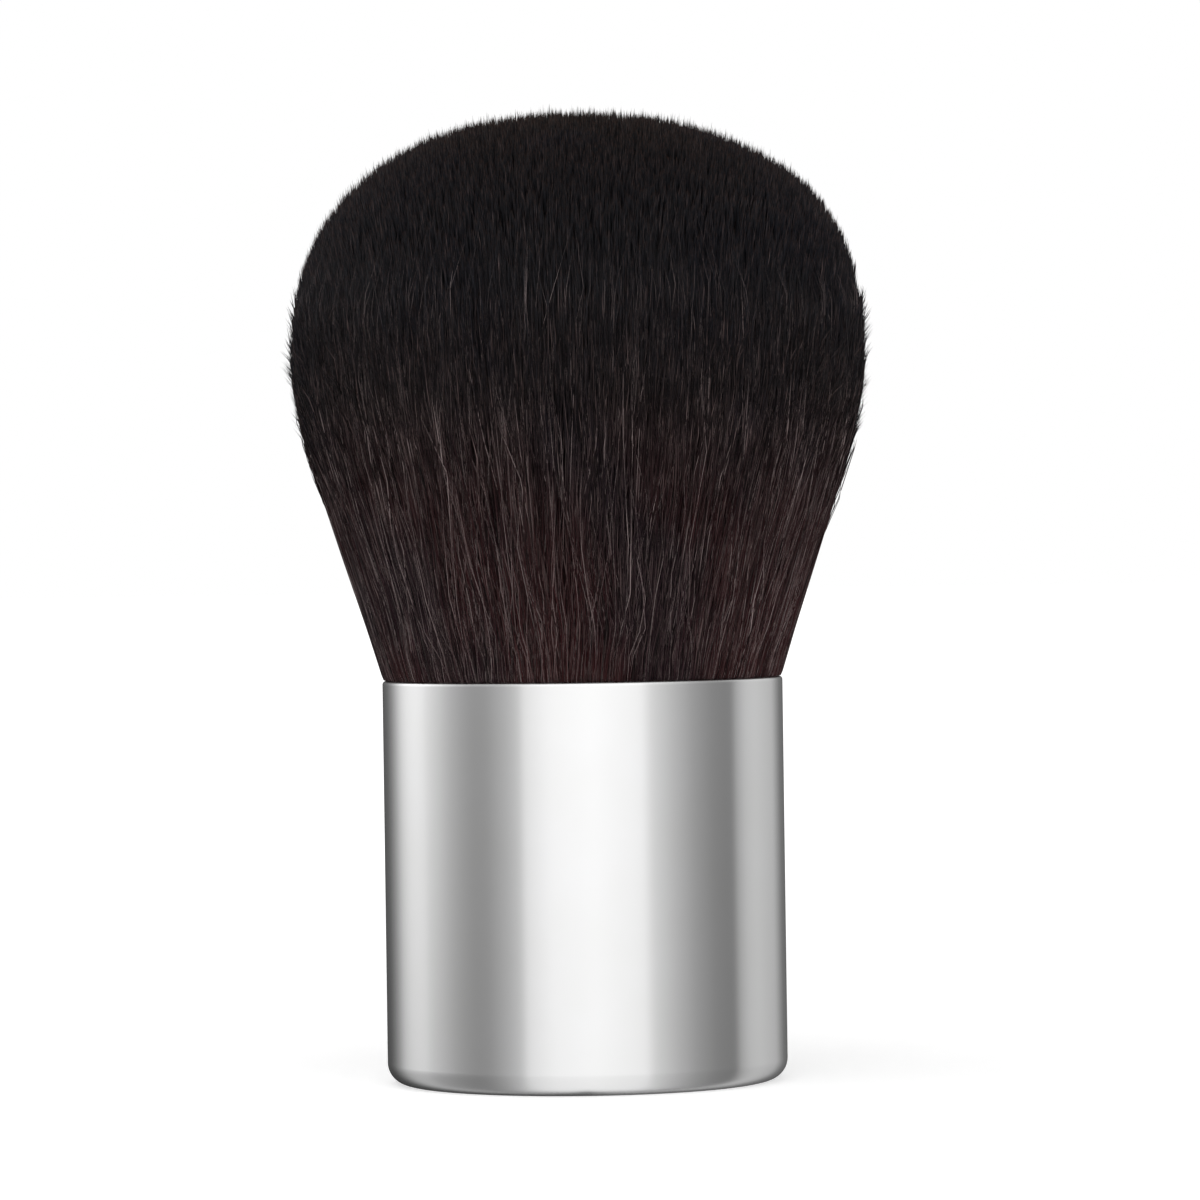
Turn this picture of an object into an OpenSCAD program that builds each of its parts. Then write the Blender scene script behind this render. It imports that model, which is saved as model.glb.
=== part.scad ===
// Kabuki powder brush: a drawn aluminium shell that is ferrule and handle in one,
// with a moulded carrier inside that holds a tied and resin-set hair tuft.
// Millimetres. The base lies on z = 0 and the brush stands along +Z.

/* [Shell] */
// Outside diameter of the shell
shell_d = 30; // [26:0.5:36]
// Height of the shell from the base to the mouth
shell_h = 30.2; // [28:0.2:40]
// Thickness of the drawn side wall
wall_t = 0.6; // [0.4:0.1:1.0]
// Thickness of the floor
floor_t = 0.8; // [0.5:0.1:1.5]
// Radius of the rounded corner round the base
base_round_r = 1.6; // [1.1:0.1:1.7]
// Radius that breaks the outer edge of the mouth
mouth_round_r = 0.25; // [0.1:0.05:0.35]

/* [Carrier] */
// Wall of the carrier's skirt below the socket
skirt_wall = 1.5; // [1.3:0.1:2.5]
// Thickness of the web that is the socket's floor
web_t = 1.6; // [1:0.1:3]
// Wall round the tuft socket
socket_wall = 1.4; // [1:0.1:2.4]
// Depth of the tuft socket below the top of the tuft's root slice
socket_depth = 10; // [7:0.5:12]
// Height that the socket wall stands above the root slice
socket_lip = 0.6; // [0.2:0.1:1]
// Number of stiffening ribs inside the skirt
rib_count = 6; // [3:1:8]
// Thickness of a stiffening rib
rib_t = 1.2; // [0.8:0.1:2]
// Diameter of the boss where the ribs meet
boss_d = 6; // [4:0.5:9]
// Width of a glue groove round the carrier
groove_w = 2; // [1:0.1:3]
// Depth of a glue groove
groove_depth = 0.5; // [0.3:0.05:0.7]
// Height of the lower glue groove's middle above the carrier's foot
low_groove_h = 4; // [3:0.5:6]
// Height of the upper glue groove's middle above the web
high_groove_h = 3; // [2:0.5:5]

/* [Glue and resin] */
// Thickness of the glue bed on the shell's floor
floor_glue_t = 0.4; // [0.2:0.05:0.8]
// Distance that the glue bed stops short of the round inside the base
floor_glue_margin = 0.2; // [0.1:0.1:0.5]
// Thickness of the resin-soaked slice that the hair stands in
root_slice_t = 4.4; // [4.3:0.1:5]
// Depth of the root slice's top below the mouth
root_depth = 5.7; // [4.5:0.1:7]

/* [Tie] */
// Diameter of the tie thread
thread_d = 0.4; // [0.3:0.05:0.4]
// Turns of thread round the root slice
thread_turns = 4; // [2:1:4]
// Height that one turn climbs
thread_pitch = 0.9; // [0.85:0.05:0.95]
// Space between the root slice and the socket's wall, where the thread lies
tie_space = 1.3; // [0.8:0.1:2]

/* [Hair] */
// Widest diameter of the hair head
head_d = 42.8; // [38:0.2:52]
// Height of the widest place above the mouth
belly_h = 25; // [20:0.5:30]
// Height of the dome above the widest place
dome_h = 17.4; // [12:0.2:22]
// Power of the dome's curve: 2 is an ellipse, and more fills out its shoulder
dome_power = 2.2; // [1.8:0.1:2.6]
// Height above the mouth where the hair ends its first spread
flare_h = 4; // [2:0.5:6]
// Distance of the flank's upper end below the widest place
flank_drop = 6; // [5:0.5:12]
// How much less the hair's radius is there than at the widest place
flank_draw_in = 0.6; // [0.2:0.1:3]
// Distance of the outermost hair from the edge of the root slice
root_inset = 0.5; // [0.4:0.1:1]
// Length of the tapered point of a strand
tip_len = 4; // [2:0.5:6]
// Radius of a strand as a share of the space between strands
strand_fill = 0.44; // [0.3:0.01:0.46]
// Most that a strand's tip lies below the dome
tip_uneven = 0.35; // [0:0.05:0.6]

/* [Fits] */
// Gap between the carrier and the shell's wall
carrier_gap = 0.15; // [0.1:0.05:0.3]
// Gap round pieces that are set in the socket
socket_gap = 0.1; // [0.05:0.05:0.2]
// Gap between the thread and the root slice
thread_gap = 0.05; // [0.02:0.01:0.1]
// Gap between the hair and the shell at the mouth
mouth_gap = 0.3; // [0.2:0.05:0.5]
// Gap between a wall glue ring and the shell or its groove
glue_gap = 0.03; // [0.02:0.01:0.05]

/* [Hidden] */

// Enough facets that circles count as true circles
round_fn = 96;
// A cut runs this far past what it cuts, so that no skin is left
cut_over = 1;
// A rib bites this far into what it joins at each end
rib_bite = 0.25;

// Radii, from the shell inwards
shell_r = shell_d / 2;
bore_r = shell_r - wall_t;
carrier_r = bore_r - carrier_gap;
skirt_r = carrier_r - skirt_wall;
socket_r = carrier_r - socket_wall;
resin_r = socket_r - socket_gap;
root_r = socket_r - tie_space;
inner_round_r = base_round_r - wall_t;
floor_glue_r = bore_r - inner_round_r - floor_glue_margin;
foot_chamfer = inner_round_r + carrier_gap;

// Heights, from the base up
carrier_z = floor_t + floor_glue_t;
slice_top_z = shell_h - root_depth;
slice_z = slice_top_z - root_slice_t;
socket_z = slice_top_z - socket_depth;
carrier_top_z = slice_top_z + socket_lip;
web_z = socket_z - web_t;
low_groove_z = carrier_z + low_groove_h;
high_groove_z = socket_z + high_groove_h;

// The hair's outline: it leaves the root slice in a straight flare that just clears the mouth
hair_root_r = root_r - root_inset;
strand_sink = 0.6;
hair_root_z = slice_top_z - strand_sink;
mouth_hair_r = bore_r - mouth_gap;
flare_slope = (mouth_hair_r - hair_root_r) / (shell_h - hair_root_z);
flare_z = shell_h + flare_h;
flare_r = mouth_hair_r + flare_slope * flare_h;
head_r = head_d / 2;
belly_z = shell_h + belly_h;
flank_z = belly_z - flank_drop;
flank_r = head_r - flank_draw_in;

// Strands: rings of them round a middle one, each turned from the ring inside it
strand_rings = 10;
strand_sides = 3;
strand_levels = 4;
ring_turn = 137.508;
uneven_turn = 222.492;

// Thread
thread_r = thread_d / 2;
thread_run_r = root_r + thread_gap + thread_r;
thread_rings_per_turn = 24;
thread_sides = 6;
thread_rings = thread_turns * thread_rings_per_turn;
thread_start_z = slice_z + (root_slice_t - thread_turns * thread_pitch) / 2;

// A ring about the Z axis with a square section
module square_ring(outer_r, inner_r, height) {
    difference() {
        cylinder(r = outer_r, h = height, $fn = round_fn);
        translate([0, 0, -cut_over])
            cylinder(r = inner_r, h = height + 2 * cut_over, $fn = round_fn);
    }
}

// Half section of a round can with a rounded lower corner, ready to be turned
module can_section(radius, height, corner_r) {
    translate([0, corner_r])
        square([radius, height - corner_r]);
    square([radius - corner_r, height]);
    translate([radius - corner_r, corner_r])
        circle(r = corner_r, $fn = round_fn);
}

// The drawn aluminium cup, which is both ferrule and handle
module shell() {
    color([0.80, 0.80, 0.81])
        rotate_extrude($fn = round_fn)
            difference() {
                can_section(shell_r, shell_h, base_round_r);
                translate([0, floor_t])
                    can_section(bore_r, shell_h, inner_round_r);
                mouth_edge();
            }
}

// What is taken off the outer edge of the mouth to round it
module mouth_edge() {
    translate([shell_r - mouth_round_r, shell_h - mouth_round_r])
        difference() {
            square(mouth_round_r + cut_over);
            circle(r = mouth_round_r, $fn = round_fn);
        }
}

// Moulded plastic carrier: a socket for the tuft on a ribbed skirt
module carrier() {
    color([0.16, 0.16, 0.17]) {
        difference() {
            carrier_body();
            translate([0, 0, carrier_z - cut_over])
                cylinder(r = skirt_r, h = web_z - carrier_z + cut_over, $fn = round_fn);
            translate([0, 0, socket_z])
                cylinder(r = socket_r, h = shell_h, $fn = round_fn);
            glue_groove(low_groove_z);
            glue_groove(high_groove_z);
        }
        skirt_ribs();
    }
}

// The carrier's outside, with its foot chamfered to clear the round inside the shell
module carrier_body() {
    translate([0, 0, carrier_z])
        cylinder(r1 = carrier_r - foot_chamfer, r2 = carrier_r, h = foot_chamfer, $fn = round_fn);
    translate([0, 0, carrier_z + foot_chamfer])
        cylinder(r = carrier_r, h = carrier_top_z - carrier_z - foot_chamfer, $fn = round_fn);
}

// A groove round the carrier that is cut at a height and takes a ring of glue
module glue_groove(middle_z) {
    translate([0, 0, middle_z - groove_w / 2])
        square_ring(carrier_r + cut_over, carrier_r - groove_depth, groove_w);
}

// Ribs that run from the boss to the skirt's wall, under the web
module skirt_ribs() {
    rib_h = web_z - carrier_z + web_t / 2;
    rib_start = boss_d / 2 - rib_bite;
    translate([0, 0, carrier_z])
        cylinder(d = boss_d, h = rib_h, $fn = round_fn);
    for (i = [0 : rib_count - 1])
        rotate([0, 0, i * 360 / rib_count])
            translate([rib_start, -rib_t / 2, carrier_z + foot_chamfer])
                cube([skirt_r + rib_bite - rib_start, rib_t, rib_h - foot_chamfer]);
}

// Bed of glue that the carrier's foot stands in
module floor_glue() {
    color([0.86, 0.80, 0.62])
        translate([0, 0, floor_t])
            cylinder(r = floor_glue_r, h = floor_glue_t, $fn = round_fn);
}

// Two rings of glue that bond the carrier to the shell's wall
module wall_glue() {
    color([0.86, 0.80, 0.62])
        for (middle_z = [low_groove_z, high_groove_z])
            translate([0, 0, middle_z - groove_w / 2 + glue_gap])
                square_ring(
                    bore_r - glue_gap,
                    carrier_r - groove_depth + glue_gap,
                    groove_w - 2 * glue_gap
                );
}

// Cured resin under the root slice, poured into the socket
module root_resin() {
    color([0.72, 0.52, 0.26])
        translate([0, 0, socket_z])
            cylinder(r = resin_r, h = slice_z - socket_z, $fn = round_fn);
}

// Centre of the thread at ring i of its helix
function thread_centre(i) =
    let (turn = 360 * i / thread_rings_per_turn)
    [
        thread_run_r * cos(turn),
        thread_run_r * sin(turn),
        thread_start_z + thread_pitch * i / thread_rings_per_turn
    ];

// Point j round the thread at ring i
function thread_point(i, j) =
    let (
        turn = 360 * i / thread_rings_per_turn,
        round_it = 360 * j / thread_sides,
        out = thread_r * cos(round_it)
    )
    thread_centre(i) + [out * cos(turn), out * sin(turn), thread_r * sin(round_it)];

// Least gap between a turn of thread and the next one
thread_own_gap = min([
    for (i = [0 : thread_rings_per_turn])
        norm(thread_centre(i + thread_rings_per_turn) - thread_centre(i)) - thread_d
]);
echo(least_gap_between_turns_mm = thread_own_gap);

// Waxed thread wound round the root slice in one unbroken run
module tie_thread() {
    last = thread_rings * thread_sides;
    points = [
        for (i = [0 : thread_rings])
            for (j = [0 : thread_sides - 1])
                thread_point(i, j)
    ];
    sides = [
        for (i = [0 : thread_rings - 1])
            for (j = [0 : thread_sides - 1])
                let (
                    a = i * thread_sides + j,
                    b = i * thread_sides + (j + 1) % thread_sides
                )
                each [[a, b, b + thread_sides], [a, b + thread_sides, a + thread_sides]]
    ];
    caps = [
        for (j = [1 : thread_sides - 2])
            each [[0, j + 1, j], [last, last + j, last + j + 1]]
    ];
    color([0.90, 0.88, 0.82])
        polyhedron(points = points, faces = concat(sides, caps));
}

// Space between the rings of strands where the hair reaches out to an outline radius
function strand_pitch(outline_r) = outline_r / (strand_rings + strand_fill);

// Strands in a ring
function ring_count(ring) = ring == 0 ? 1 : 6 * ring;

// Strands in all the rings inside a ring
function strands_inside(ring) = ring == 0 ? 0 : 1 + 3 * ring * (ring - 1);

// Direction of a strand from the brush's axis
function strand_turn(ring, i) = ring * ring_turn + i * 360 / ring_count(ring);

// Height of a strand's tip: the dome, with neighbours a little uneven
function tip_z(ring, i) =
    let (share = ring / (strand_rings + strand_fill))
    belly_z + dome_h * pow(1 - pow(share, dome_power), 1 / dome_power)
        - (ring == 0 ? 0 : tip_uneven * (1 + sin(uneven_turn * (ring + i))) / 2);

// One three-sided section of a strand, at a height where the outline has a given radius
function strand_section(ring, i, z, outline_r) =
    let (
        turn = strand_turn(ring, i),
        pitch = strand_pitch(outline_r),
        centre = ring * pitch * [cos(turn), sin(turn)]
    )
    [
        for (j = [0 : strand_sides - 1])
            let (
                corner = turn + j * 360 / strand_sides,
                at = centre + strand_fill * pitch * [cos(corner), sin(corner)]
            )
            [at[0], at[1], z]
    ];

// All the points of a strand: four sections and the point of its tip
function strand_points(ring, i) =
    let (
        top_z = tip_z(ring, i),
        turn = strand_turn(ring, i),
        tip_r = ring * strand_pitch(head_r)
    )
    concat(
        strand_section(ring, i, hair_root_z, hair_root_r),
        strand_section(ring, i, flare_z, flare_r),
        strand_section(ring, i, flank_z, flank_r),
        strand_section(ring, i, top_z - tip_len, head_r),
        [[tip_r * cos(turn), tip_r * sin(turn), top_z]]
    );

// Faces of a strand whose points start at a place in the list
function strand_faces(start) =
    let (tip = start + strand_sides * strand_levels)
    concat(
        [[start, start + 1, start + 2]],
        [
            for (level = [0 : strand_levels - 2])
                for (j = [0 : strand_sides - 1])
                    let (
                        a = start + level * strand_sides + j,
                        b = start + level * strand_sides + (j + 1) % strand_sides
                    )
                    each [[a, b + strand_sides, b], [a, a + strand_sides, b + strand_sides]]
        ],
        [
            for (j = [0 : strand_sides - 1])
                [
                    tip - strand_sides + j,
                    tip,
                    tip - strand_sides + (j + 1) % strand_sides
                ]
        ]
    );

// The strands of hair, each rising from the root slice to the dome
module strands() {
    points_each = strand_sides * strand_levels + 1;
    points = [
        for (ring = [0 : strand_rings])
            for (i = [0 : ring_count(ring) - 1])
                each strand_points(ring, i)
    ];
    faces = [
        for (ring = [0 : strand_rings])
            for (i = [0 : ring_count(ring) - 1])
                each strand_faces((strands_inside(ring) + i) * points_each)
    ];
    polyhedron(points = points, faces = faces);
}

// The hair tuft: strands fused to the resin-soaked slice that their roots are set in
module hair_tuft() {
    color([0.10, 0.08, 0.08])
        union() {
            strands();
            translate([0, 0, slice_z])
                cylinder(r = root_r, h = root_slice_t, $fn = round_fn);
        }
}

shell();
carrier();
floor_glue();
wall_glue();
root_resin();
tie_thread();
hair_tuft();
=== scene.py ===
"""Kabuki powder brush: the finish of every piece, and the hair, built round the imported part."""

import math

import bpy
import numpy as np
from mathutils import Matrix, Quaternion, Vector


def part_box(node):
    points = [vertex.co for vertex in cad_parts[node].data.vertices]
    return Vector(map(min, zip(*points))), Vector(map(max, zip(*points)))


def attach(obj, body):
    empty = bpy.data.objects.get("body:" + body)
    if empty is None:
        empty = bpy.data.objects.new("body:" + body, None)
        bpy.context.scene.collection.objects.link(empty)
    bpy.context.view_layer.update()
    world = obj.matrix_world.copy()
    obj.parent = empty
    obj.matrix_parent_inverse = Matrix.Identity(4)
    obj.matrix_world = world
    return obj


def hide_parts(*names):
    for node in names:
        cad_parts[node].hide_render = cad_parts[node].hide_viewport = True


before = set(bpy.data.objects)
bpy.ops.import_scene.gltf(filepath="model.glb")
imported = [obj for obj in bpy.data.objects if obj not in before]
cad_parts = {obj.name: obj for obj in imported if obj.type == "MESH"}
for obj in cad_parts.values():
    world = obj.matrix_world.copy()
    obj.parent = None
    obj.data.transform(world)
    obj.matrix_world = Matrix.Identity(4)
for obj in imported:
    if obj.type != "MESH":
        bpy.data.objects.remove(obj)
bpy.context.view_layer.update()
bpy.ops.object.select_all(action="DESELECT")


# Glue bed: two-part epoxy that was poured on the shell's floor as a paste and
# set under the carrier's foot. Cured epoxy is cream, a little glossy, and holds
# fine air bubbles.
def linear(hex_colour):
    """The linear colour, with alpha, of an sRGB hex value."""
    parts = [int(hex_colour[i : i + 2], 16) / 255 for i in (1, 3, 5)]
    return [p / 12.92 if p <= 0.04045 else ((p + 0.055) / 1.055) ** 2.4 for p in parts] + [1.0]


def add_node(tree, kind, inputs=None, **settings):
    """Adds a node with its settings. An input takes a value, or another node's output."""
    node = tree.nodes.new(kind)
    for name, value in settings.items():
        setattr(node, name, value)
    for name, value in (inputs or {}).items():
        if isinstance(value, bpy.types.NodeSocket):
            tree.links.new(value, node.inputs[name])
        else:
            node.inputs[name].default_value = value
    return node


def start_material(name):
    """An empty material, its node tree and the Object coordinates that its patterns read."""
    material = bpy.data.materials.new(name)
    material.use_nodes = True
    material.node_tree.nodes.clear()
    place = add_node(material.node_tree, "ShaderNodeTexCoord")
    return material, material.node_tree, place.outputs["Object"]


def shade(tree, shader):
    """Sends a shader to the surface."""
    add_node(tree, "ShaderNodeOutputMaterial", {"Surface": shader.outputs["BSDF"]})


def dress(node_name, material):
    """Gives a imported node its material."""
    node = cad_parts[node_name]
    node.data.materials.clear()
    node.data.materials.append(material)


mm = 0.001
glue_cream = linear("#d8cba0")
glue_amber = linear("#c2ae7a")
bubble_size = 0.35 * mm

epoxy, tree, place = start_material("cured_epoxy")
cloud = add_node(tree, "ShaderNodeTexNoise", {"Vector": place, "Scale": 1 / (4 * mm), "Detail": 3})
bubbles = add_node(tree, "ShaderNodeTexVoronoi", {"Vector": place, "Scale": 1 / bubble_size})
tint = add_node(
    tree,
    "ShaderNodeMix",
    {"Factor": cloud.outputs["Fac"], "A": glue_cream, "B": glue_amber},
    data_type="RGBA",
)
dimples = add_node(
    tree,
    "ShaderNodeBump",
    {"Height": bubbles.outputs["Distance"], "Strength": 0.25, "Distance": 0.05 * mm},
)
shade(
    tree,
    add_node(
        tree,
        "ShaderNodeBsdfPrincipled",
        {
            "Base Color": tint.outputs["Result"],
            "Roughness": 0.35,
            "IOR": 1.54,
            "Normal": dimples.outputs["Normal"],
        },
    ),
)
dress("floor_glue", epoxy)
dress("wall_glue", epoxy)


# Carrier: injection-moulded ABS, dark grey, with the fine even grain of a
# spark-eroded mould. It is pushed into the shell on its glue and never seen again.
abs_grey = linear("#2a2a2c")
abs_worn = linear("#333336")
# A spark-eroded grain is about 0.03 mm. It is drawn coarser, so that it can show.
grain_size = 0.12 * mm

abs_plastic, tree, place = start_material("moulded_abs")
flow = add_node(tree, "ShaderNodeTexNoise", {"Vector": place, "Scale": 1 / (9 * mm), "Detail": 2})
grain = add_node(
    tree, "ShaderNodeTexNoise", {"Vector": place, "Scale": 1 / grain_size, "Detail": 2}
)
tint = add_node(
    tree,
    "ShaderNodeMix",
    {"Factor": flow.outputs["Fac"], "A": abs_grey, "B": abs_worn},
    data_type="RGBA",
)
sheen_of_grain = add_node(
    tree,
    "ShaderNodeMapRange",
    {"Value": grain.outputs["Fac"], "To Min": 0.42, "To Max": 0.58},
)
pits = add_node(
    tree,
    "ShaderNodeBump",
    {"Height": grain.outputs["Fac"], "Strength": 0.3, "Distance": 0.02 * mm},
)
shade(
    tree,
    add_node(
        tree,
        "ShaderNodeBsdfPrincipled",
        {
            "Base Color": tint.outputs["Result"],
            "Roughness": sheen_of_grain.outputs["Result"],
            "IOR": 1.54,
            "Normal": pits.outputs["Normal"],
        },
    ),
)
dress("carrier", abs_plastic)


# Root resin: amber polyester resin, poured thin into the socket. It cured under
# the tied hair with a smooth glossy face and a slight cloudiness inside.
resin_light = linear("#c08a3c")
resin_dark = linear("#8a5a22")

resin, tree, place = start_material("cast_resin")
cloud = add_node(tree, "ShaderNodeTexNoise", {"Vector": place, "Scale": 1 / (6 * mm), "Detail": 4})
tint = add_node(
    tree,
    "ShaderNodeMix",
    {"Factor": cloud.outputs["Fac"], "A": resin_light, "B": resin_dark},
    data_type="RGBA",
)
shade(
    tree,
    add_node(
        tree,
        "ShaderNodeBsdfPrincipled",
        {"Base Color": tint.outputs["Result"], "Roughness": 0.12, "IOR": 1.55},
    ),
)
dress("root_resin", resin)


# Tie thread: waxed polyester, three plies twisted together and wound four times
# round the hair before it was set. The wax fills the twist and dulls it.
thread_light = linear("#e6e1d2")
thread_dark = linear("#a39c88")
ply_pitch = 0.5 * mm
# At scale 1 the diagonal bands of a wave texture repeat at this length
band_length = 2 * math.pi / 10

thread, tree, place = start_material("waxed_thread")
twist = add_node(
    tree,
    "ShaderNodeTexWave",
    {"Vector": place, "Scale": band_length / ply_pitch, "Distortion": 1.5},
    bands_direction="DIAGONAL",
)
tint = add_node(
    tree,
    "ShaderNodeMix",
    {"Factor": twist.outputs["Fac"], "A": thread_dark, "B": thread_light},
    data_type="RGBA",
)
shade(
    tree,
    add_node(
        tree,
        "ShaderNodeBsdfPrincipled",
        {"Base Color": tint.outputs["Result"], "Roughness": 0.55, "IOR": 1.5},
    ),
)
dress("tie_thread", thread)


# Shell: a cup deep-drawn from aluminium sheet, ferrule and handle in one. Its
# wall was finished on a spindle, which leaves rings too fine to see that draw
# the reflections up and down, and then anodised clear, which dulls it to satin.
def turned(name, profile, steps):
    """A solid about the Z axis: a disc that is extruded and scaled from one radius and height of
    its profile to the next."""
    (radius, height), *rest = profile
    bpy.ops.mesh.primitive_circle_add(
        vertices=steps, radius=radius, fill_type="NGON", location=(0, 0, height)
    )
    piece = bpy.context.object
    piece.name = name
    bpy.ops.object.mode_set(mode="EDIT")
    bpy.ops.mesh.select_all(action="SELECT")
    for next_radius, next_height in rest:
        bpy.ops.mesh.extrude_region_move(
            TRANSFORM_OT_translate={"value": (0, 0, next_height - height)}
        )
        bpy.ops.transform.resize(value=(next_radius / radius, next_radius / radius, 1))
        radius, height = next_radius, next_height
    bpy.ops.mesh.select_all(action="SELECT")
    bpy.ops.mesh.normals_make_consistent(inside=False)
    bpy.ops.object.mode_set(mode="OBJECT")
    bpy.ops.object.transform_apply(location=True, rotation=True, scale=True)
    bpy.ops.object.shade_smooth_by_angle(angle=math.radians(40))
    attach(piece, "root")
    return piece


def rounding(centre_r, centre_z, radius, from_deg, to_deg, steps):
    """Points of a rounded corner in a profile. 0 degrees points outwards and 90 up."""
    turns = [math.radians(from_deg + (to_deg - from_deg) * i / steps) for i in range(steps + 1)]
    return [(centre_r + radius * math.cos(t), centre_z + radius * math.sin(t)) for t in turns]


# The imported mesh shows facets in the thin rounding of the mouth, so the shell is turned again
# in finer steps, with the same sizes.
shell_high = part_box("shell")[1]
shell_r = shell_high.x
mouth_z = shell_high.z
bore_r = shell_r - 0.6 * mm
floor_z = 0.8 * mm
base_round = 1.6 * mm
inner_round = 1.0 * mm
mouth_round = 0.25 * mm
edge = 0.05 * mm
shell = turned(
    "aluminium_shell",
    [(shell_r - base_round - edge, 0)]
    + rounding(shell_r - base_round, base_round, base_round, -90, 0, 10)
    + [(shell_r, base_round + edge), (shell_r, mouth_z - mouth_round - edge)]
    + rounding(shell_r - mouth_round, mouth_z - mouth_round, mouth_round, 0, 90, 5)
    + [(bore_r, mouth_z), (bore_r, floor_z + inner_round + edge)]
    + rounding(bore_r - inner_round, floor_z + inner_round, inner_round, 0, -90, 5)
    + [(bore_r - inner_round - edge, floor_z)],
    192,
)

aluminium_clear = linear("#e2e2e3")
aluminium_warm = linear("#dcdcdb")
# The rings are about 0.02 mm apart. They are drawn coarser, and show as a faint change of gloss.
ring_spacing = 0.08 * mm

aluminium, tree, place = start_material("satin_anodised_aluminium")
stretch = add_node(
    tree,
    "ShaderNodeMapping",
    {"Vector": place, "Scale": (0.02, 0.02, 1.0)},
    vector_type="POINT",
)
rings = add_node(
    tree,
    "ShaderNodeTexNoise",
    {"Vector": stretch.outputs["Vector"], "Scale": 1 / ring_spacing, "Detail": 3},
)
patches = add_node(
    tree, "ShaderNodeTexNoise", {"Vector": place, "Scale": 1 / (7 * mm), "Detail": 3}
)
tint = add_node(
    tree,
    "ShaderNodeMix",
    {"Factor": patches.outputs["Fac"], "A": aluminium_clear, "B": aluminium_warm},
    data_type="RGBA",
)
satin = add_node(
    tree,
    "ShaderNodeMapRange",
    {"Value": rings.outputs["Fac"], "To Min": 0.19, "To Max": 0.25},
)
around = add_node(tree, "ShaderNodeTangent", direction_type="RADIAL", axis="Z")
shade(
    tree,
    add_node(
        tree,
        "ShaderNodeBsdfPrincipled",
        {
            "Base Color": tint.outputs["Result"],
            "Metallic": 1.0,
            "Roughness": satin.outputs["Result"],
            "Anisotropic": 0.9,
            "Anisotropic Rotation": 0.25,
            "Tangent": around.outputs["Tangent"],
        },
    ),
)
shell.data.materials.append(aluminium)
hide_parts("shell")
dress("shell", aluminium)


# Hair: natural black-brown goat hair, thousands of tapered hairs that are cut
# nowhere, so their own fine tips make the dome. They stand in the root resin,
# spill over the shell's mouth and lie a little wavy along the flank.
tuft_low, tuft_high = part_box("hair_tuft")
head_top = tuft_high.z - mouth_z
head_r = 21.4 * mm
belly_h = 25 * mm
dome_power = 2.3
random = np.random.default_rng(11)

# Heights above the mouth and the head's radius there: in the mouth, over its edge, up the flank
inside_and_edge = [(-10, 11.6), (-5.7, 11.6), (-0.35, 14), (-0.02, 14.25), (0.06, 14.85), (0.4, 15)]
up_the_flank = [
    (3, 15.8), (6, 16.77), (9, 17.75), (12, 18.72), (15, 19.67), (18, 20.5), (21, 21.1), (23, 21.33)
]
outline_h, outline_r = np.array(inside_and_edge + up_the_flank + [(25, 21.4)]).T * mm


def outline(h):
    """Radius of the hair head at a height above the mouth, up to its widest place."""
    return np.interp(h, outline_h, outline_r)


def dome(share):
    """Height above the mouth where a hair ends that stands at a share of the head's radius."""
    fall = np.clip(1 - np.clip(share, 0, 1) ** dome_power, 0, 1) ** (1 / dome_power)
    return belly_h + (head_top - belly_h) * fall


def surface(h):
    """Radius of the whole head, flank and dome, at a height above the mouth."""
    over = np.clip((h - belly_h) / (head_top - belly_h), 0, 1)
    return np.where(h < belly_h, outline(h), head_r * (1 - over**dome_power) ** (1 / dome_power))


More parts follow.
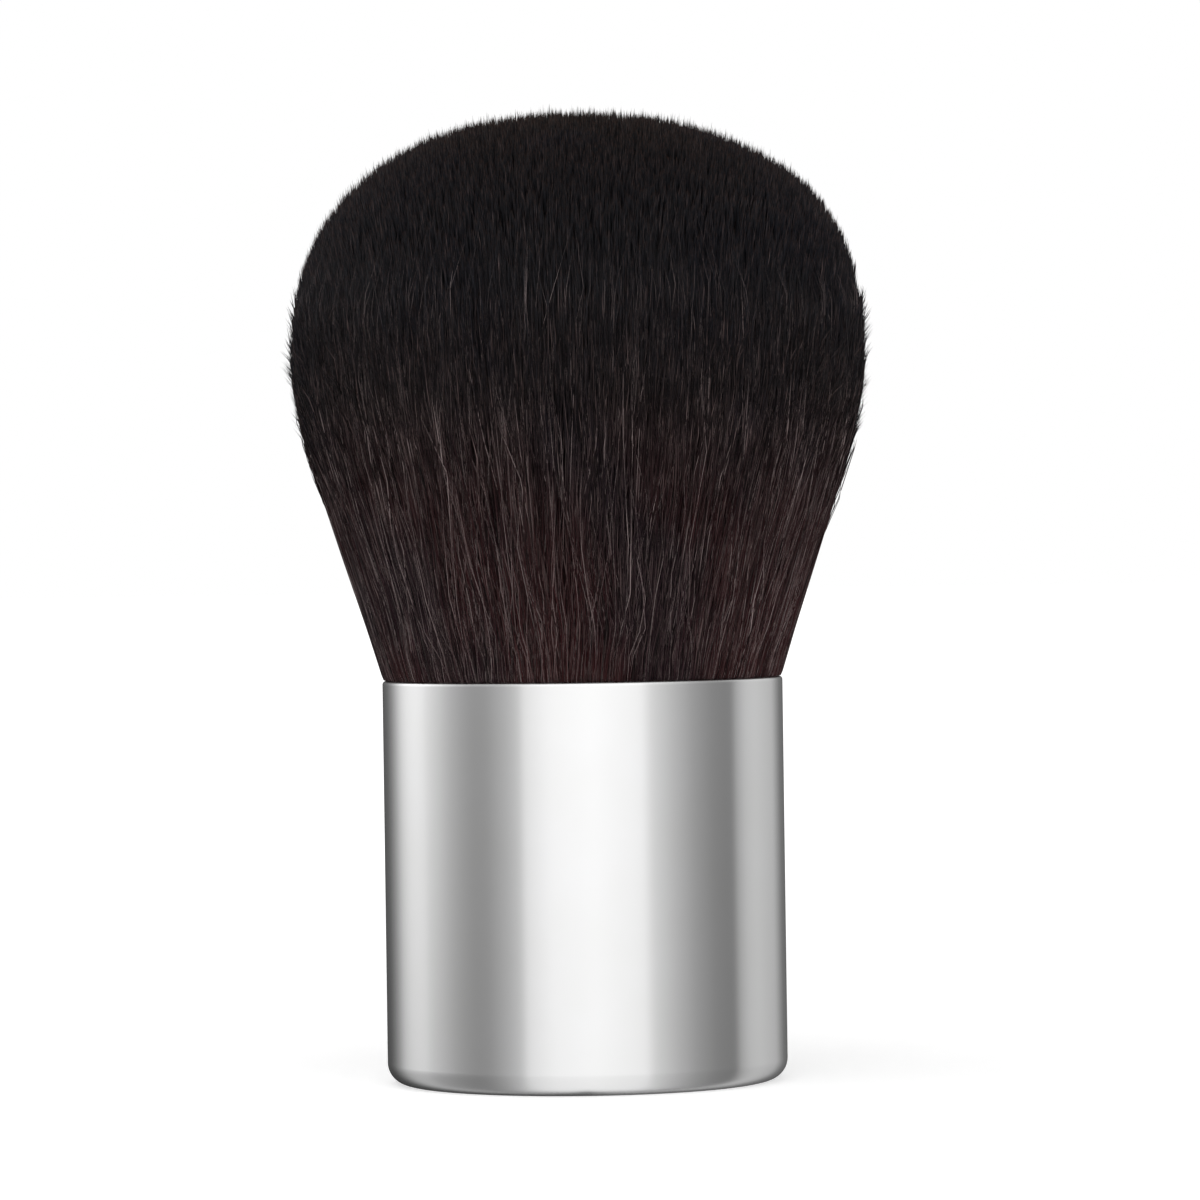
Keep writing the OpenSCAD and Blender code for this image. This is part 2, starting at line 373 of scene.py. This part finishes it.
def hair_piece(name, path, width, turn, across, along, material):
    """One piece of closed three-sided hairs. path is hairs, levels and x y z, and its last level is
    the tip. width is the hairs' thickness at each level before it, across and along are the UVs."""
    count, levels = path.shape[:2]
    levels -= 1
    sides = 3
    each = levels * sides + 1
    corner = turn[:, None] + np.arange(sides) * 2 * math.pi / sides
    round_it = np.stack([np.cos(corner), np.sin(corner), np.zeros_like(corner)], -1)
    rings = path[:, :levels, None, :] + width[:, :, None, None] / 2 * round_it[:, None, :, :]
    points = np.concatenate([rings.reshape(count, -1, 3), path[:, -1:, :]], 1)

    walls, wall_uv = [], []
    for level in range(levels - 1):
        for j in range(sides):
            a, b = level * sides + j, level * sides + (j + 1) % sides
            walls.append([a, b, b + sides, a + sides])
            wall_uv.append([(j, level), (j + 1, level), (j + 1, level + 1), (j, level + 1)])
    tip = levels * sides
    ends = [[tip - sides + j, tip - sides + (j + 1) % sides, tip] for j in range(sides)]
    end_uv = [[(j, levels - 1), (j + 1, levels - 1), (j + 0.5, levels)] for j in range(sides)]
    ends.append([0, 2, 1])
    end_uv.append([(0, 0), (3, 0), (1.5, 1)])

    first = np.arange(count)[:, None] * each
    quads = (first + np.array(walls).ravel()).reshape(-1)
    triangles = (first + np.array(ends).ravel()).reshape(-1)
    mesh = bpy.data.meshes.new(name)
    mesh.vertices.add(count * each)
    mesh.vertices.foreach_set("co", points.astype(np.float32).ravel())
    mesh.loops.add(len(quads) + len(triangles))
    mesh.loops.foreach_set("vertex_index", np.concatenate([quads, triangles]).astype(np.int32))
    sizes = np.concatenate([np.full(len(quads) // 4, 4), np.full(len(triangles) // 3, 3)])
    mesh.polygons.add(len(sizes))
    starts = np.concatenate([[0], np.cumsum(sizes)[:-1]]).astype(np.int32)
    mesh.polygons.foreach_set("loop_start", starts)
    mesh.polygons.foreach_set("use_smooth", np.ones(len(sizes), bool))

    # Each hair's three sides fill 0.8 of its own strip of the UV square, root below and tip above
    uv_step = 0.8 / (sides * len(along))
    spots = []
    for uv in (np.array(wall_uv, float).reshape(-1, 2), np.array(end_uv, float).reshape(-1, 2)):
        u = across[:, None] + (uv[:, 0] - sides / 2) * uv_step
        v = along[:, uv[:, 1].astype(int)]
        spots.append(np.stack([u, v], -1).reshape(-1, 2))
    layer = mesh.uv_layers.new(name="OFBake")
    layer.data.foreach_set("uv", np.concatenate(spots).astype(np.float32).ravel())
    mesh.update(calc_edges=True)
    mesh.materials.append(material)
    piece = bpy.data.objects.new(name, mesh)
    bpy.context.collection.objects.link(piece)
    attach(piece, "root")
    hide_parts("hair_tuft")
    return piece


# The darkest tone of a hair is that of the shaded gaps between hairs: partly painted shade
gap_shade_brown = linear("#0c0808")
root_brown = linear("#431f21")
low_brown = linear("#351c1e")
middle_brown = linear("#2c2729")
dome_black = linear("#2b2b2f")
# The crown and the top are darker still: painted shade, against the overhead lamp that lights the
# crown more
crown_shade_black = linear("#1b1b1f")
top_shade_black = linear("#0f0e0f")
cool_black = linear("#1a1b23")
tip_brown_and_backlight = linear("#5c4032")
hair_length = 46 * mm
# The UV's x tells one hair from the next. Noise that is this much finer gives each its own value.
hairs_apart = 30000


def hair_material(name, light, glint_amount, glint_length, seldom):
    """Goat hair: reddish brown at the root and black at the dome, darker still at the crown as
    painted shade, dull, each hair with a tone of its own that reaches down to painted gap shade,
    a fine brown point that is partly painted light, and painted highlights as light strokes where
    it would catch the light. seldom is the level of the noise that a stroke starts at."""
    hair, tree, place = start_material(name)
    height = add_node(tree, "ShaderNodeSeparateXYZ", {"Vector": place})
    rise = add_node(
        tree,
        "ShaderNodeMapRange",
        {"Value": height.outputs["Z"], "From Min": mouth_z, "From Max": mouth_z + head_top},
    )
    # Colour by height, from reddish brown at the root to black at the dome; its darker crown and
    # top are painted shade
    base = add_node(tree, "ShaderNodeValToRGB", {"Fac": rise.outputs["Result"]})
    base.color_ramp.elements[0].color = root_brown
    base.color_ramp.elements[1].color = top_shade_black
    inner = ((0.3, low_brown), (0.5, middle_brown), (0.68, dome_black), (0.87, crown_shade_black))
    for position, colour in inner:
        base.color_ramp.elements.new(position).color = colour
    # Patches of cooler black, twice as tall as they are wide
    tall = add_node(
        tree,
        "ShaderNodeMapping",
        {"Vector": place, "Location": (0.01, 0, 0), "Scale": (1, 1, 0.5)},
    )
    patch = add_node(
        tree,
        "ShaderNodeTexNoise",
        {"Vector": tall.outputs["Vector"], "Scale": 1 / (9 * mm), "Detail": 2},
    )
    cool = add_node(
        tree,
        "ShaderNodeMapRange",
        {"Value": patch.outputs["Fac"], "From Min": 0.46, "From Max": 0.64, "To Max": 0.6},
    )
    tint = add_node(
        tree,
        "ShaderNodeMix",
        {"Factor": cool.outputs["Result"], "A": base.outputs["Color"], "B": cool_black},
        data_type="RGBA",
    )
    # A tone for each hair, from that of the shaded gaps to the full colour, and milder on the dome:
    # partly each hair's own tone, partly painted shade between the hairs
    uv = add_node(tree, "ShaderNodeUVMap", uv_map="OFBake")
    split = add_node(tree, "ShaderNodeSeparateXYZ", {"Vector": uv.outputs["UV"]})
    one_hair = add_node(
        tree, "ShaderNodeMapping", {"Vector": uv.outputs["UV"], "Scale": (hairs_apart, 1, 1)}
    )
    own = add_node(
        tree,
        "ShaderNodeTexNoise",
        {"Vector": one_hair.outputs["Vector"], "Scale": 1, "Detail": 0},
        noise_dimensions="2D",
    )
    calm = add_node(
        tree,
        "ShaderNodeMapRange",
        {"Value": rise.outputs["Result"], "From Min": 0.5, "From Max": 0.8, "To Max": 0.65},
    )
    own_tone = add_node(
        tree,
        "ShaderNodeMapRange",
        {
            "Value": own.outputs["Fac"],
            "From Min": 0.37,
            "From Max": 0.65,
            "To Min": calm.outputs["Result"],
        },
    )
    tint = add_node(
        tree,
        "ShaderNodeMix",
        {"Factor": own_tone.outputs["Result"], "A": gap_shade_brown, "B": tint.outputs["Result"]},
        data_type="RGBA",
    )
    # Painted highlights: light strokes along the hairs where they would catch the light, fainter
    # towards the crown
    along_hair = add_node(
        tree,
        "ShaderNodeMapping",
        {
            "Vector": uv.outputs["UV"],
            "Location": (77, 0, 0),
            "Scale": (hairs_apart, hair_length / glint_length, 1),
        },
    )
    stroke = add_node(
        tree,
        "ShaderNodeTexNoise",
        {"Vector": along_hair.outputs["Vector"], "Scale": 1, "Detail": 1},
        noise_dimensions="2D",
    )
    glint_fade = add_node(
        tree,
        "ShaderNodeMapRange",
        {
            "Value": rise.outputs["Result"],
            "From Min": 0.45,
            "From Max": 0.85,
            "To Min": glint_amount,
            "To Max": glint_amount * 0.35,
        },
    )
    glint_share = add_node(
        tree,
        "ShaderNodeMapRange",
        {
            "Value": stroke.outputs["Fac"],
            "From Min": seldom,
            "From Max": seldom + 0.15,
            "To Max": glint_fade.outputs["Result"],
        },
    )
    tint = add_node(
        tree,
        "ShaderNodeMix",
        {"Factor": glint_share.outputs["Result"], "A": tint.outputs["Result"], "B": light},
        data_type="RGBA",
    )
    # The last 0.3 mm of a hair is brown: partly the points' own lighter colour, partly painted
    # light for light shining through the thin points
    point = add_node(
        tree,
        "ShaderNodeMapRange",
        {"Value": split.outputs["Y"], "From Min": 0.993, "From Max": 0.999, "To Max": 0.5},
    )
    tint = add_node(
        tree,
        "ShaderNodeMix",
        {"Factor": point.outputs["Result"], "A": tint.outputs["Result"], "B": tip_brown_and_backlight},
        data_type="RGBA",
    )
    shade(
        tree,
        add_node(
            tree,
            "ShaderNodeBsdfPrincipled",
            {
                "Base Color": tint.outputs["Result"],
                "Roughness": 0.5,
                "IOR": 1.55,
                "Specular IOR Level": 0.08,
            },
        ),
    )
    return hair


# Each kind of hair gets the colour, strength, length and threshold of its painted highlight strokes
under_hair = hair_material("goat_under_hair", linear("#8a7674"), 0.85, 5 * mm, 0.608)
guard_hair = hair_material("goat_guard_hair", linear("#c4b0ae"), 1.0, 11 * mm, 0.56)

# The long hairs of the flank, from inside the mouth to the belly and the shoulder. They lie
# in locks that share a wave and a drift to one side, so that neighbours cross. A real hair is
# about 0.07 mm thick: here each is a little thicker, so that it shows.
flank_width = 0.1 * mm
end_width = 0.085 * mm
rim_heights = np.array([-1.2, -0.35, -0.02, 0.06, 0.4]) * mm
rise_shares = np.array([0.06, 0.14, 0.24, 0.36, 0.5, 0.65, 0.82, 1.0])
locks = 120
lock_drift = random.normal(0, 0.9 * mm, locks)
# Length of each wave, how far a lock swings in it, and how far a hair swings by itself, in mm
waves = ((7, 0.07, 0.06), (13, 0.13, 0.1), (24, 0.2, 0.15))
lock_phase = 2 * math.pi * random.random((len(waves), locks))
lock_size = random.normal(0, 1, (len(waves), locks))
# Over how much height the mouth holds the hairs in place, and how long their bent points are
mouth_hold = 4 * mm
bend_length = 9 * mm


def flank_hair(name, angle, share, top, stray, curl, width, material):
    """Hairs from the root up the flank. top is where each ends, stray how freely they leave their
    lock, and curl how far their points bend out."""
    n = len(angle)
    rim = np.broadcast_to(rim_heights, (n, len(rim_heights)))
    h = np.concatenate([rim, rim_heights[-1] + (top[:, None] - rim_heights[-1]) * rise_shares], 1)
    lock = (np.arange(n) * locks // n + random.integers(-1, 2, n)) % locks
    drift = lock_drift[lock] + stray * random.normal(0, 0.7 * mm, n)
    side = drift[:, None] * np.clip(h, 0, None) / belly_h
    for m, (length, shared, own) in enumerate(waves):
        turn = 2 * math.pi * h / (length * mm)
        own_phase = 2 * math.pi * random.random((n, 1))
        swing = shared * mm * lock_size[m, lock][:, None]
        side += swing * np.sin(turn + lock_phase[m, lock][:, None])
        side += own * stray * mm * random.normal(0, 1, (n, 1)) * np.sin(turn + own_phase)
    bend = np.clip(1 - (top[:, None] - h) / bend_length, 0, 1) ** 2
    r = np.minimum(share[:, None] * outline(h), surface(h)) + curl[:, None] * bend
    a = angle[:, None] + side * np.clip(h / mouth_hold, 0, 1) / r
    path = np.stack([r * np.cos(a), r * np.sin(a), mouth_z + h], -1)
    thick = width * random.uniform(0.75, 1.15, (n, 1)) * np.ones((1, h.shape[1] - 1))
    thick[:, -1] *= 0.6
    hair_piece(
        name,
        path,
        thick,
        2 * math.pi * random.random(n),
        (np.arange(n) + 0.5) / n,
        1 - (top[:, None] - h) / hair_length,
        material,
    )


def all_round(n):
    """Directions of n hairs, evenly round the brush but not in step."""
    return 2 * math.pi * (np.arange(n) + random.random(n)) / n


flank_pieces = 5
n = 2300
for k in range(flank_pieces):
    share = 1 - 0.07 * random.random(n) ** 1.2
    top = dome(share) + random.normal(0, 0.45 * mm, n)
    name = f"hair_flank_{k + 1}"
    flank_hair(name, all_round(n), share, top, 1.0, np.zeros(n), flank_width, under_hair)

# The guard hairs lie outermost, stray more than the rest and carry the brightest and most frequent
# painted highlights
n = 1500
share = 1 + random.uniform(-0.006, 0.003, n)
top = random.uniform(22 * mm, 35 * mm, n)
share = np.where(top > 27 * mm, share - 0.01, share)
curl = random.uniform(-0.1, 0.15, n) * mm
flank_hair("hair_guard", all_round(n), share, top, 2.1, curl, end_width, guard_hair)

# Three levels of a hair's end: how far each lies below the tip, and how wide its tuft is there.
# Then how far the hairs of a tuft lean, and how unevenly they end.
below = np.array([4.0, 0.9, 0.0]) * mm
gather = np.array([1.0, 0.95, 0.6])
lean_apart = 0.12 * mm
uneven = 0.24 * mm


def hair_ends(name, angle, r, top, spread):
    """The upper ends of hairs, a few to a tuft whose points come together. angle and top place
    each hair's tuft, r is its radius at each level, and spread the tuft's size."""
    n = len(angle)
    off = spread * random.normal(0, 1, (2, n))
    top = top - 0.7 * np.hypot(off[0], off[1]) + random.normal(-0.1 * mm, uneven, n)
    drift = random.normal(0, lean_apart, (2, n, 1)) * np.array([1.0, 0.0, 0.0])
    out = r + off[0][:, None] * gather
    side = off[1][:, None] * gather
    x = out * np.cos(angle)[:, None] - side * np.sin(angle)[:, None] + drift[0]
    y = out * np.sin(angle)[:, None] + side * np.cos(angle)[:, None] + drift[1]
    path = np.stack([x, y, mouth_z + top[:, None] - below], -1)
    hair_piece(
        name,
        path,
        end_width * random.uniform(0.75, 1.15, (n, 1)) * np.array([1.0, 0.85]),
        2 * math.pi * random.random(n),
        (np.arange(n) + 0.5) / n,
        1 - below / hair_length * np.ones((n, 1)),
        under_hair,
    )


# The points of the outer hairs, three to a tuft. Most lie on the head, and a few stand out
# from it round its widest place. Their lower ends start inside the flank.
tufts = 2800
tuft_angle = all_round(tufts)
tuft_top = random.triangular(13 * mm, 28 * mm, 32 * mm, tufts)
stands_out = 0.05 * mm + 0.9 * mm * random.random(tufts) ** 2.2
stands_out *= np.clip((tuft_top - 15 * mm) / (6 * mm), 0, 1)
stands_out *= np.clip((34 * mm - tuft_top) / (8 * mm), 0, 1)
tuft = np.repeat(np.arange(tufts), 3)
tip_r = (surface(tuft_top) + stands_out)[tuft, None]
inside = np.array([0.35, -0.05, -1.0]) * mm
r = np.minimum(surface(tuft_top[tuft, None] - below) - inside, tip_r - 0.16 * below)
hair_ends("hair_points", tuft_angle[tuft], r, tuft_top[tuft], 0.09 * mm)

# The hairs of the dome, of which only the upper ends show. Their tufts are set in a sunflower's
# spiral, which fills a disc evenly, each a little out of its place. The right side is fuller.
dome_pieces = 4
dome_hairs = 18000
tufts = 9000
golden_angle = math.radians(137.508)
fuller = 0.6 * mm
tuft_share = 0.975 * np.sqrt((np.arange(tufts) + 0.5) / tufts) + random.normal(0, 0.005, tufts)
tuft_share = np.abs(tuft_share)
tuft_angle = golden_angle * np.arange(tufts) + random.normal(0, 0.005, tufts) / tuft_share
tuft_angle %= 2 * math.pi
tuft_top = dome(tuft_share) + random.normal(0, 0.1 * mm, tufts)
tuft_top += fuller * np.clip((tuft_share * np.cos(tuft_angle) - 0.6) / 0.25, 0, 1)
for k in range(dome_pieces):
    tuft = random.integers(0, tufts, dome_hairs)
    tuft = tuft[np.argsort(tuft_angle[tuft])]
    r = tuft_share[tuft, None] * (head_r - 0.25 * below)
    hair_ends(f"hair_dome_{k + 1}", tuft_angle[tuft], r, tuft_top[tuft], 0.17 * mm)

# The dark mass of hair behind, with the resin-soaked slice at its root
core_share = 0.93
core_depth = 1.4 * mm
slice_r = 11.55 * mm
slice_top = -5.7 * mm
streak_width = 0.15 * mm
core_profile = [(slice_r, tuft_low.z), (slice_r, mouth_z + slice_top)]
for h in (-1.2, 0, 0.5, 3, 8, 14, 20, 25):
    core_profile.append((core_share * float(outline(h * mm)), mouth_z + h * mm))
for share in (0.95, 0.85, 0.7, 0.5, 0.25):
    core_profile.append((core_share * head_r * share, mouth_z + float(dome(share)) - core_depth))
core = turned("hair_core", core_profile, 96)
core_hair, tree, place = start_material("hair_mass")
strands = add_node(tree, "ShaderNodeMapping", {"Vector": place, "Scale": (1.0, 1.0, 0.03)})
streaks = add_node(
    tree,
    "ShaderNodeTexNoise",
    {"Vector": strands.outputs["Vector"], "Scale": 1 / streak_width, "Detail": 2},
)
tint = add_node(
    tree,
    "ShaderNodeMix",
    {
        "Factor": streaks.outputs["Fac"],
        "A": linear("#141111"),
        "B": linear("#332b2a"),
    },
    data_type="RGBA",
)
shade(
    tree,
    add_node(
        tree,
        "ShaderNodeBsdfPrincipled",
        {"Base Color": tint.outputs["Result"], "Roughness": 0.8, "IOR": 1.55},
    ),
)
core.data.materials.append(core_hair)
dress("hair_tuft", core_hair)
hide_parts("hair_tuft")


# Camera: a long lens at hand's height, a little above the brush's mouth, turned
# a degree because the brush leans a degree to the left in the picture.
eye = Vector((1.4, -470, 39.6)) * mm
aim = Vector((1.4, 0, 36.05)) * mm
lean = math.radians(0.8)
lens = 188
bpy.ops.object.camera_add(location=eye)
camera = bpy.context.object
camera.rotation_mode = "QUATERNION"
facing = (aim - eye).to_track_quat("-Z", "Y")
camera.rotation_quaternion = facing @ Quaternion((0, 0, 1), -lean)
camera.data.sensor_width = 36
camera.data.lens = lens
camera.data.clip_start = 0.01
camera.data.clip_end = 20
bpy.context.scene.camera = camera


# Floor: white paper that runs back out of sight. It shows white to the camera,
# keeps the brush's shadow, and isn't mirrored in the metal, where the cards are.
bpy.ops.mesh.primitive_plane_add(size=12, location=(0, 0, 0))
floor = bpy.context.object
floor.name = "floor"
paper, tree, place = start_material("white_paper")
paper_white = linear("#f4f4f4")
fibres = add_node(tree, "ShaderNodeTexNoise", {"Vector": place, "Scale": 1 / (2 * mm), "Detail": 2})
tint = add_node(
    tree,
    "ShaderNodeMix",
    {"Factor": fibres.outputs["Fac"], "A": paper_white, "B": linear("#ffffff")},
    data_type="RGBA",
)
matt = add_node(tree, "ShaderNodeBsdfDiffuse", {"Color": tint.outputs["Result"]})
away = add_node(tree, "ShaderNodeVectorMath", {"Vector": place}, operation="LENGTH")
glow_of_paper = add_node(
    tree,
    "ShaderNodeMapRange",
    {
        "Value": away.outputs["Value"],
        "From Min": 0.03,
        "From Max": 0.4,
        "To Min": 0.4,
        "To Max": 0.75,
    },
)
ray = add_node(tree, "ShaderNodeLightPath")
shown = add_node(
    tree,
    "ShaderNodeMath",
    {0: ray.outputs["Is Camera Ray"], 1: glow_of_paper.outputs["Result"]},
    operation="MULTIPLY",
)
glow = add_node(
    tree, "ShaderNodeEmission", {"Color": linear("#ffffff"), "Strength": shown.outputs["Value"]}
)
both = add_node(tree, "ShaderNodeAddShader", {0: matt.outputs["BSDF"], 1: glow.outputs["Emission"]})
add_node(tree, "ShaderNodeOutputMaterial", {"Surface": both.outputs["Shader"]})
floor.data.materials.append(paper)
floor.visible_glossy = False


# World: an even pale surround that fills the shadows, and plain white to the
# camera and in the metal.
world = bpy.data.worlds.new("pale_room")
bpy.context.scene.world = world
world.use_nodes = True
tree = world.node_tree
tree.nodes.clear()
ray = add_node(tree, "ShaderNodeLightPath")
seen = add_node(
    tree,
    "ShaderNodeMath",
    {0: ray.outputs["Is Camera Ray"], 1: ray.outputs["Is Glossy Ray"]},
    operation="MAXIMUM",
)
seen = add_node(
    tree,
    "ShaderNodeMath",
    {0: seen.outputs["Value"], 1: ray.outputs["Is Transmission Ray"]},
    operation="MAXIMUM",
)
level = add_node(
    tree, "ShaderNodeMapRange", {"Value": seen.outputs["Value"], "To Min": 0.5, "To Max": 1.0}
)
sky = add_node(
    tree,
    "ShaderNodeBackground",
    {"Color": linear("#ffffff"), "Strength": level.outputs["Result"]},
)
add_node(tree, "ShaderNodeOutputWorld", {"Surface": sky.outputs["Background"]})


# Lamps: a wide soft box behind the camera and one overhead.
def soft_box(name, place, aim_at, width, height, radiance):
    """A rectangular lamp of an even brightness, turned to a point."""
    bpy.ops.object.light_add(type="AREA", location=place)
    lamp = bpy.context.object
    lamp.name = name
    lamp.data.shape = "RECTANGLE"
    lamp.data.size = width
    lamp.data.size_y = height
    lamp.data.energy = radiance * width * height * math.pi
    lamp.rotation_mode = "QUATERNION"
    lamp.rotation_quaternion = (Vector(aim_at) - Vector(place)).to_track_quat("-Z", "Y")
    lamp.visible_glossy = False


soft_box("front_soft_box", (0.03, -0.7, 0.12), (0, 0, 0.04), 0.75, 0.9, 1.35)
soft_box("top_soft_box", (-0.1, -0.15, 0.7), (0, 0, 0.04), 0.6, 0.6, 0.8)


# Reflector: a drum with a round bottom that stands all round the brush and glows
# in greys that fade into each other: white in front, dark to each side, and darker
# low down, most on the left. It is no lamp: its greys are painted light that only the metal sees.
drum_steps = 240
drum_r = 0.3
drum_foot = -0.06
# Each ring's radius and height, and how brightly it glows on the right and on the left
drum_rings = [
    (drum_r, 0.4, 1.2, 1.7),
    (drum_r, 0.12, 1.2, 1.7),
    (drum_r, 0.03, 1.04, 1.15),
    (drum_r, drum_foot, 0.84, 0.5),
]
for down in range(8, 90, 8):
    turn = math.radians(down)
    drum_rings.append((drum_r * math.cos(turn), drum_foot - drum_r * math.sin(turn), 0.85, 0.5))
# How brightly the drum glows at degrees from the front, positive to the right
greys = [
    # Behind, nearly black
    (-180, 0.08), (-160, 0.10), (-150, 0.14), (-142, 0.25), (-134, 0.46),
    # A light strip on the left, which fades to grey
    (-126, 0.80), (-118, 1.00), (-110, 1.07), (-102, 1.02), (-99, 0.90), (-88, 0.71),
    (-80, 0.55), (-72, 0.44), (-64, 0.37), (-56, 0.38), (-44, 0.55), (-36, 0.72),
    # The white front
    (-33, 1.02), (-18, 1.25), (4, 1.34), (26, 1.23), (33, 1.18),
    # Grey on the right, and a last pale strip
    (38, 0.88), (52, 0.61), (64, 0.42), (77, 0.30), (92, 0.25),
    (96, 0.50), (104, 0.68), (114, 0.72), (136, 0.58),
    # Behind again
    (144, 0.36), (152, 0.20), (165, 0.14), (180, 0.10),
]
turns = np.radians(np.linspace(-180, 180, drum_steps + 1))
points, level, faces = [], [], []
for radius, z, right, left in drum_rings:
    far = math.hypot(radius, z)
    points += [(radius * math.sin(t), -radius * math.cos(t), z) for t in turns]
    # The stripes curve together below, so that they look straight in the shell's rounded
    # corner, but not behind, where they would all meet
    bent = (far - radius) * np.clip((math.pi - np.abs(turns)) / math.radians(60), 0, 1) ** 2
    way = 2 * np.degrees(np.arctan2(radius * np.sin(turns), bent + radius * (1 + np.cos(turns))))
    glow_grey = np.interp(way, *np.transpose(greys))
    level += list(glow_grey * np.interp(way, [-90, -40], [left, right]))
for row in range(len(drum_rings) - 1):
    for i in range(row * (drum_steps + 1), row * (drum_steps + 1) + drum_steps):
        faces.append((i, i + 1, i + drum_steps + 2, i + drum_steps + 1))
mesh = bpy.data.meshes.new("reflector")
mesh.from_pydata(points, [], faces)
tone = mesh.color_attributes.new("tone", "FLOAT_COLOR", "POINT")
tone.data.foreach_set("color", np.repeat(level, 4).astype(np.float32))
reflector = bpy.data.objects.new("reflector", mesh)
bpy.context.collection.objects.link(reflector)
material, tree, place = start_material("glowing_greys")
tone = add_node(tree, "ShaderNodeVertexColor", layer_name="tone")
glow = add_node(tree, "ShaderNodeEmission", {"Color": tone.outputs["Color"]})
add_node(tree, "ShaderNodeOutputMaterial", {"Surface": glow.outputs["Emission"]})
mesh.materials.append(material)
reflector.visible_camera = False
reflector.visible_diffuse = False
reflector.visible_shadow = False
reflector.visible_transmission = False

bpy.context.scene.view_settings.view_transform = "Standard"
